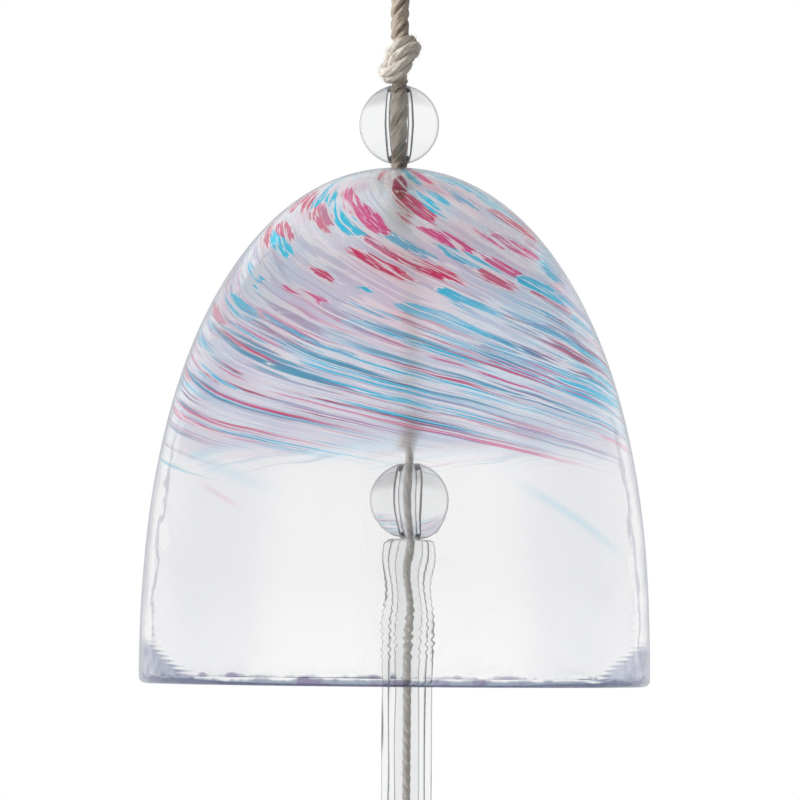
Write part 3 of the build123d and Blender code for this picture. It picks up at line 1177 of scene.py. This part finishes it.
def yarn_section():
    """Angles and radii, as shares of a leg's radius, round three yarns that touch."""
    angle = np.arange(SECTION_POINTS) * 2 * math.pi / SECTION_POINTS
    third = 2 * math.pi / YARNS
    off = (angle + third / 2) % third - third / 2
    radius = YARN_OFF * np.cos(off) + np.sqrt(YARN_RADIUS**2 - (YARN_OFF * np.sin(off)) ** 2)
    return angle, radius


def soft_section(line):
    """Angles and radii of a soft leg with a few shallow folds that wind along it."""
    angle = np.arange(SECTION_POINTS) * 2 * math.pi / SECTION_POINTS
    wound = 2 * math.pi * lengths(line)[:, None] / RELIEF_PITCH
    folds = np.abs(np.cos(RELIEF_LOBES * (angle[None, :] + wound) / 2))
    return angle, 1 + RELIEF * (1 - 2 * folds**3)


def leg_mesh(line, frames, wide, deep, section):
    """Points, faces and fibre coordinates of one leg, with its half width and half depth."""
    across, out, _ = frames
    along = lengths(line)
    angle, share = section
    share = np.broadcast_to(share, (len(line), SECTION_POINTS))
    ring = (np.cos(angle) * share)[..., None] * (across * wide[:, None])[:, None]
    ring = ring + (np.sin(angle) * share)[..., None] * (out * deep[:, None])[:, None]
    points = (line[:, None] + ring).reshape(-1, 3)
    rows, count = len(line), SECTION_POINTS
    row, column = np.meshgrid(np.arange(rows - 1), np.arange(count), indexing="ij")
    following = (column + 1) % count
    corners = [(row, column), (row, following), (row + 1, following), (row + 1, column)]
    faces = np.stack([a * count + b for a, b in corners], axis=-1).reshape(-1, 4).tolist()
    around = [column, column + 1, column + 1, column]
    fibre = np.stack(
        [np.stack([b / count, along[a[0]] / MM], axis=-1) for a, b in zip(corners, around)], axis=2
    ).reshape(-1, 2)
    ends = [list(range(count))[::-1], list(range((rows - 1) * count, rows * count))]
    flat = [(0.0, 0.0)] * count + [(0.0, along[-1] / MM)] * count
    return points, faces + ends, np.concatenate([fibre, flat])


print("a leg's section has", SECTION_POINTS, "points")

# %% [markdown]
# Cotton is never smooth. Short fibres stand out of the yarns, most of them in the knots, where
# the cord was rubbed. They are thin bent hairs with three sides, placed by a random number
# generator with a fixed seed. A hair starts just under the yarn's surface, leans along the cord
# one way or the other, and tapers and bends more the further out it is.

# %% Loose fibres
HAIR_RADIUS = 0.02 * MM
HAIR_TAPER = 0.7
HAIR_LENGTH = (0.3 * MM, 0.95 * MM)
HAIR_ROOT = 0.9
HAIR_STAND, HAIR_DROOP = 0.55, 0.35
HAIR_LEAN = 0.8
HAIR_BEND = 0.5
HAIR_RINGS = 4
HAIR_SIDES = 3
BARE_END = 2


def hair_faces():
    """One hair's faces: bands between its rings, and a cap on its root and its tip."""
    faces = []
    for start in range(0, HAIR_SIDES * (HAIR_RINGS - 1), HAIR_SIDES):
        for k in range(HAIR_SIDES):
            a, b = start + k, start + (k + 1) % HAIR_SIDES
            faces.append([a, b, b + HAIR_SIDES, a + HAIR_SIDES])
    tip = HAIR_SIDES * (HAIR_RINGS - 1)
    faces.append([0, *range(HAIR_SIDES - 1, 0, -1)])
    faces.append(list(range(tip, tip + HAIR_SIDES)))
    return faces


def hairs(line, frames, wide, deep, each_mm, seed):
    """Points, faces and fibre coordinates of loose fibres along a leg."""
    dice = np.random.default_rng(seed)
    side, up, tangent = frames
    crowd = np.broadcast_to(each_mm, len(line))[BARE_END:-BARE_END]
    count = int(crowd.sum() * LINE_STEP / MM)
    at = dice.choice(np.arange(BARE_END, len(line) - BARE_END), count, p=crowd / crowd.sum())
    turn = dice.uniform(0, 2 * math.pi, count)
    reach = np.cos(turn)[:, None] * side[at] * wide[at][:, None]
    reach = reach + np.sin(turn)[:, None] * up[at] * deep[at][:, None]
    out = unit(reach)
    lean = tangent[at] * dice.uniform(-HAIR_LEAN, HAIR_LEAN, count)[:, None]
    bend = dice.normal(0, HAIR_BEND, (count, 3))
    size = dice.uniform(*HAIR_LENGTH, count)[:, None]
    root = line[at] + reach * HAIR_ROOT
    points = []
    across = np.cross(out, tangent[at])
    for share in np.linspace(0, 1, HAIR_RINGS):
        heading = (out * (HAIR_STAND - HAIR_DROOP * share) + lean + bend * share) * size * share
        thick = HAIR_RADIUS * (1 - HAIR_TAPER * share)
        for k in range(HAIR_SIDES):
            corner = 2 * math.pi * k / HAIR_SIDES
            ring = math.cos(corner) * across + math.sin(corner) * tangent[at]
            points.append(root + heading + ring * thick)
    points = np.stack(points, axis=1).reshape(-1, 3)
    faces = hair_faces()
    starts = np.arange(count) * HAIR_SIDES * HAIR_RINGS
    all_faces = [[v + s for v in face] for s in starts.tolist() for face in faces]
    corner_count = sum(len(face) for face in faces) * count
    return points, all_faces, np.zeros((corner_count, 2)) + 0.5


print("a fibre has", len(hair_faces()), "faces")

# %% [markdown]
# All legs and fibres of one cord become one mesh. Each point of it also stores how deep in a knot
# it lies, as its fluff, because the finish is woollier there and free of the painted shade.

# %% Joining a cord's parts
KNOT_EDGE = 0.8 * MM


def in_knot(line, node):
    """1 where a line runs inside a CAD knot, 0 away from it."""
    low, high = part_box(node)
    z = line[:, 2]
    near = np.clip((z - low.z) / KNOT_EDGE, 0, 1) * np.clip((high.z - z) / KNOT_EDGE, 0, 1)
    return near * near * (3 - 2 * near)


def cord_piece(name, parts, body):
    """One cord object from the meshes of its legs and fibres."""
    points = np.concatenate([part[0] for part in parts])
    faces, shift = [], 0
    for part in parts:
        faces += [[v + shift for v in face] for face in part[1]]
        shift += len(part[0])
    piece = new_piece(name, points, faces, [cotton], body)
    layer = piece.data.uv_layers.new(name="fibre")
    layer.data.foreach_set("uv", np.concatenate([part[2] for part in parts]).ravel())
    fluff = np.max([in_knot(points, node) for node in KNOT_STRANDS], axis=0)
    layer = piece.data.attributes.new("fluff", "FLOAT", "POINT")
    layer.data.foreach_set("value", fluff)
    return piece


print("knots", len(KNOT_STRANDS))

# %% [markdown]
# The cotton is off-white and dull, with a faint sheen. Its bump follows the fibres: the noise is
# taken round the leg and slowly along it, so that it comes out as fine lines that turn with the
# yarns. The knots are woollier. Above the crown, outside the knots, the cord gets painted shade:
# its colour is made a little darker there.

# %% Cotton
COTTON = rgb(238, 231, 220)
COTTON_SHADE = rgb(190, 178, 162)
# The colour of painted shade on the cord above the crown
PAINTED_SHADE_COLOUR = rgb(206, 198, 190)
FIBRE_LINES = 3.2
FIBRE_RUN = 0.7


def cotton_finish():
    finish = material("cotton")
    place = finish.node("UVMap", {"uv_map": "fibre"}).outputs[0]
    split = finish.node("SeparateXYZ", None, {0: place})
    turn = Value(finish, split.outputs[0]) * (2 * math.pi)
    run = Value(finish, split.outputs[1]) * FIBRE_RUN
    sockets = {0: turn.cosine() * FIBRE_LINES, 1: turn.sine() * FIBRE_LINES, 2: run}
    spot = finish.node("CombineXYZ", None, sockets).outputs[0]
    fibres = finish.value("TexNoise", None, {"Vector": spot, "Scale": 1.0, "Detail": 3.0})
    where = finish.node("TexCoord").outputs["Object"]
    patch = finish.value("TexNoise", None, {"Vector": where, "Scale": 700.0, "Detail": 2.0})
    colour = finish.mixed((fibres * 0.7 + patch * 0.5).ramp(0.25, 0.75), COTTON_SHADE, COTTON)
    fluff = finish.value("Attribute", {"attribute_name": "fluff"}, output=2)
    height = Value(finish, finish.node("SeparateXYZ", None, {0: where}).outputs[2])
    # Painted shade: the cord above the crown, outside the knots, is made darker.
    painted_shade_mask = (1 - fluff) * height.ramp(CROWN_Z - 3 * MM, CROWN_Z)
    colour = finish.mixed(painted_shade_mask, colour, PAINTED_SHADE_COLOUR, "MULTIPLY")
    wool = {"Vector": where, "Scale": 2300.0, "Detail": 3.0, "Distortion": 1.2}
    wool = finish.value("TexNoise", None, wool)
    height = fibres + patch * 0.4 + wool * (0.25 + fluff * 0.9)
    bump = {"Height": height, "Distance": 0.22 * MM, "Strength": 0.9}
    sockets = {
        "Base Color": colour,
        "Roughness": 0.82 + patch * 0.15,
        "Sheen Weight": 0.4,
        "Sheen Roughness": 0.5,
        "Normal": finish.node("Bump", None, bump).outputs[0],
    }
    return finish.close(finish.node("BsdfPrincipled", None, sockets))


cotton = cotton_finish()
print("cotton ready")

# %% [markdown]
# Now the cords are made along their routes. The doubled part twists once in 7.7 mm, as in the
# picture, and lies flat in the knots, where its legs are squeezed thinner. At the knot under the
# crown, one leg ends and the other goes on as the clapper's cord.

# %% Single and doubled legs
LEGS_PITCH = 7.7 * MM
PRESSED = 0.95
PAIR_WIDE, PAIR_DEEP = 0.67 * MM, 1.16 * MM
THREADED_WIDE, THREADED_DEEP = 0.60 * MM, 1.06 * MM
KNOT_WIDE, KNOT_DEEP = 0.68 * MM, 0.74 * MM
START_LENGTH = 2.5 * MM
JOIN_LENGTH = 2.0 * MM
KNOT_LEG = 1.12 * MM
HAIRS_A_MM = 9
KNOT_HAIRS_A_MM = 60


def plain_leg(line, radius, start_turn, each_mm, seed):
    """The meshes of a single leg and its loose fibres."""
    frames = twisted_frames(line, YARN_PITCH, start_turn)
    loose = hairs(line, frames, radius, radius, each_mm, seed)
    return [leg_mesh(line, frames, radius, radius, yarn_section()), loose]


def pair_legs(line, frames, apart, wide, deep, each_mm, seed):
    """The meshes of two legs side by side and their loose fibres."""
    parts = []
    for sign in (1, -1):
        middle_line = line + sign * frames[0] * (apart / 2)[:, None]
        parts.append(leg_mesh(middle_line, frames, wide, deep, soft_section(line)))
        parts.append(hairs(middle_line, frames, wide, deep, each_mm, seed + sign))
    return parts


print("legs twist once in", round(LEGS_PITCH / MM, 1), "mm")

# %% [markdown]
# The loop is a single leg that bends round. Below its neck the two legs run as one doubled cord,
# thinner where it is threaded through the bead and the crown, and flat in its two knots.

# %% The loop and the doubled cord
loop_line = lines["loop"]
loop_radius = np.full(len(loop_line), LEG / 2)
loop = cord_piece("cord_loop", plain_leg(loop_line, loop_radius, 0.0, HAIRS_A_MM, 41), "hanger")
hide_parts("hanging_loop")

line = lines["hanger"]
knots = np.maximum(in_knot(line, "upper_knot"), in_knot(line, "stopper_knot"))
threaded = (line[:, 2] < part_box("crown_cord")[1].z) * (1 - knots)
wide = PAIR_WIDE + (THREADED_WIDE - PAIR_WIDE) * threaded + (KNOT_WIDE - PAIR_WIDE) * knots
deep = PAIR_DEEP + (THREADED_DEEP - PAIR_DEEP) * threaded + (KNOT_DEEP - PAIR_DEEP) * knots
start = np.clip(lengths(line) / START_LENGTH, 0, 1)
deep = LEG / 2 + (deep - LEG / 2) * start
join = np.clip((lengths(line)[-1] - lengths(line)) / JOIN_LENGTH, 0, 1)
apart = 2 * wide * PRESSED * join
frames = pair_frames(line, LEGS_PITCH, knots)
crowd = HAIRS_A_MM + (KNOT_HAIRS_A_MM - HAIRS_A_MM) * knots
hanger = cord_piece(
    "doubled_cord", pair_legs(line, frames, apart, wide, deep, crowd, 51), "hanger"
)
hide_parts("upper_cord", "upper_knot", "crown_cord", "stopper_knot")
print("doubled cord", len(hanger.data.vertices), "points")

# %% [markdown]
# The clapper's cord bends where it leaves the knot under the crown, and the strip's cord where it
# leaves the knot under the tube. Neither piece rides on a body; each is made where it hangs.

# %% The cords of the clapper and the strip
line = lines["clapper"]
radius = LEG / 2 + (KNOT_LEG - LEG) / 2 * in_knot(line, "inner_knot")
clapper = cord_piece("clapper_cord", plain_leg(line, radius, 0.2, HAIRS_A_MM, 44), None)
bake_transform(clapper)
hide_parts("inner_cord", "inner_knot", "lower_cord", "tube_knot")

line = lines["strip"]
radius = np.full(len(line), LEG / 2)
strip_cord = cord_piece("strip_cord", plain_leg(line, radius, 0.1, HAIRS_A_MM, 45), None)
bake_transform(strip_cord)
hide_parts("strip_cord")

knot_line, foot_line = lines["strip_knot"], lines["strip_loop"]
knot_radius = LEG / 2 + (KNOT_LEG - LEG) / 2 * in_knot(knot_line, "strip_knot")
foot_radius = np.full(len(foot_line), LEG / 2)
strip_tie = cord_piece(
    "strip_knot_and_loop",
    plain_leg(knot_line, knot_radius, 0.3, KNOT_HAIRS_A_MM, 46)
    + plain_leg(foot_line, foot_radius, 0.0, HAIRS_A_MM, 47),
    "paper_strip",
)
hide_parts("strip_knot", "strip_loop")
print("single cords", sum(len(o.data.vertices) for o in (loop, clapper, strip_cord, strip_tie)))

# %% [markdown]


# %% [markdown]
# The paper strip is a plain card of thin paper with round corners and a punched hole. Its flat
# shape is cut into even triangles first, from its edge, its hole and a grid of points between
# them, so that it can be bent smoothly.

# %% The flat strip
STRIP = (36 * MM, 98 * MM)
STRIP_THICK = 0.4 * MM
STRIP_CORNER = 2.0 * MM
PUNCH_RADIUS = 2.0 * MM
PUNCH_Z = STRIP[1] / 2 - 6.0 * MM
PUNCH_POINTS = 32
STRIP_GRID = 1.0 * MM
GRID_FROM_HOLE = 0.4 * MM


def strip_outline():
    """The strip's outer edge about its middle, going round."""
    half_width, half_height = STRIP[0] / 2 - STRIP_CORNER, STRIP[1] / 2 - STRIP_CORNER
    edge = []
    for x, z, start in ((1, 1, 0), (-1, 1, 90), (-1, -1, 180), (1, -1, 270)):
        for turn in np.radians(np.linspace(start, start + 90, CORNER_POINTS)):
            corner = (math.cos(turn) * STRIP_CORNER, math.sin(turn) * STRIP_CORNER)
            edge.append((x * half_width + corner[0], z * half_height + corner[1]))
    return even(edge + edge[:1], STRIP_GRID)[:-1]


def strip_grid():
    """Even points inside the strip, away from its corners and its hole."""
    across, down = (
        np.arange(-size / 2 + STRIP_GRID, size / 2 - STRIP_GRID / 2, STRIP_GRID) for size in STRIP
    )
    grid = np.stack(np.meshgrid(across, down), axis=-1).reshape(-1, 2)
    past = np.abs(grid) - (np.array(STRIP) / 2 - STRIP_CORNER)
    in_corner = (past > 0).all(axis=1) & (np.linalg.norm(past, axis=1) > STRIP_CORNER * 0.8)
    near_hole = np.linalg.norm(grid - (0, PUNCH_Z), axis=1) < PUNCH_RADIUS + GRID_FROM_HOLE
    return grid[~in_corner & ~near_hole]


def flat_strip():
    """The flat strip's points and triangles, with its hole left open."""
    edge = strip_outline()
    turn = np.linspace(0, 2 * math.pi, PUNCH_POINTS + 1)[:-1]
    hole = np.stack([PUNCH_RADIUS * np.cos(turn), PUNCH_Z + PUNCH_RADIUS * np.sin(turn)], axis=1)
    points = np.concatenate([edge, hole, strip_grid()])
    borders = [list(range(len(edge))), list(range(len(edge), len(edge) + len(hole)))[::-1]]
    found = geometry.delaunay_2d_cdt([Vector(p) for p in points], [], borders, 2, 1e-7)
    flat = np.array([v[:] for v in found[0]])
    middles = np.array([flat[list(face)].mean(axis=0) for face in found[2]])
    solid = np.linalg.norm(middles - (0, PUNCH_Z), axis=1) > PUNCH_RADIUS * 0.98
    return flat, [face for face, keep in zip(found[2], solid) if keep]


flat, triangles = flat_strip()
print("strip", len(flat), "points,", len(triangles), "triangles a side")

# %% [markdown]
# Paper that hangs in the air curls a little. The curl grows from none at the hole to most at the
# lower corners. The back is the same surface a little further off, and an edge joins the two.

# %% The hanging strip
CURL = 2.2 * MM
CURL_DOWN, CURL_CORNERS, CURL_BACK = 0.9, 0.7, 0.35


def curled(x, z):
    """How far the paper stands out of its plane."""
    down = np.clip((PUNCH_Z - z) / STRIP[1], 0, 1)
    bow = (x / STRIP[0] * 2) ** 2
    return -CURL * (down**2 * CURL_DOWN + down * bow * CURL_CORNERS - down * CURL_BACK)


def hung_strip():
    """Points and faces of the curled strip, with its thickness."""
    low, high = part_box("paper_strip")
    middle = (low + high) / 2
    x, z = flat[:, 0], flat[:, 1]
    depth = middle.y - STRIP_THICK / 2 + curled(x, z)
    front = np.stack([x + middle.x, depth, z + middle.z], axis=1)
    count = len(front)
    steps = {(a, b): None for face in triangles for a, b in zip(face, face[1:] + face[:1])}
    open_edges = [(a, b) for a, b in steps if (b, a) not in steps]
    faces = [tuple(face) for face in triangles]
    faces += [tuple(v + count for v in face[::-1]) for face in triangles]
    faces += [(b, a, a + count, b + count) for a, b in open_edges]
    return np.concatenate([front, front + (0, STRIP_THICK, 0)]), faces


strip_points, strip_faces = hung_strip()
print("strip stands out by", round(float(np.ptp(strip_points[:, 1])) / MM, 2), "mm")

# %% [markdown]
# Paper for such strips has long soft fibres. They show as faint marks in its colour and in its
# surface, and it is quite dull.


# %% The paper strip
PAPER = rgb(250, 248, 242)
PAPER_SHADE = rgb(242, 238, 228)


def paper_finish():
    finish = material("paper")
    place = finish.node("TexCoord").outputs["Object"]
    fine = finish.value("TexNoise", None, {"Vector": place, "Scale": 900.0, "Detail": 4.0})
    bent = finish.node("VectorMath", {"operation": "MULTIPLY"}, {0: place, 1: (1.0, 1.0, 0.25)})
    fibres = finish.value("TexNoise", None, {"Vector": bent, "Scale": 2600.0, "Distortion": 1.6})
    cloud = finish.value("TexNoise", None, {"Vector": place, "Scale": 120.0, "Detail": 3.0})
    colour = finish.mixed((cloud * 0.25 + fibres * 0.75).ramp(0.3, 0.8), PAPER, PAPER_SHADE)
    bump = {"Height": fine * 0.5 + fibres * 0.5, "Distance": 0.05 * MM, "Strength": 0.5}
    sockets = {
        "Base Color": colour,
        "Roughness": 0.78 + fine * 0.15,
        "Normal": finish.node("Bump", None, bump).outputs[0],
    }
    return finish.close(finish.node("BsdfPrincipled", None, sockets))


paper = new_piece(
    "paper_strip_sheet", strip_points, strip_faces, [paper_finish()], "paper_strip"
)
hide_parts("paper_strip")
print("paper strip", len(paper.data.vertices), "points")
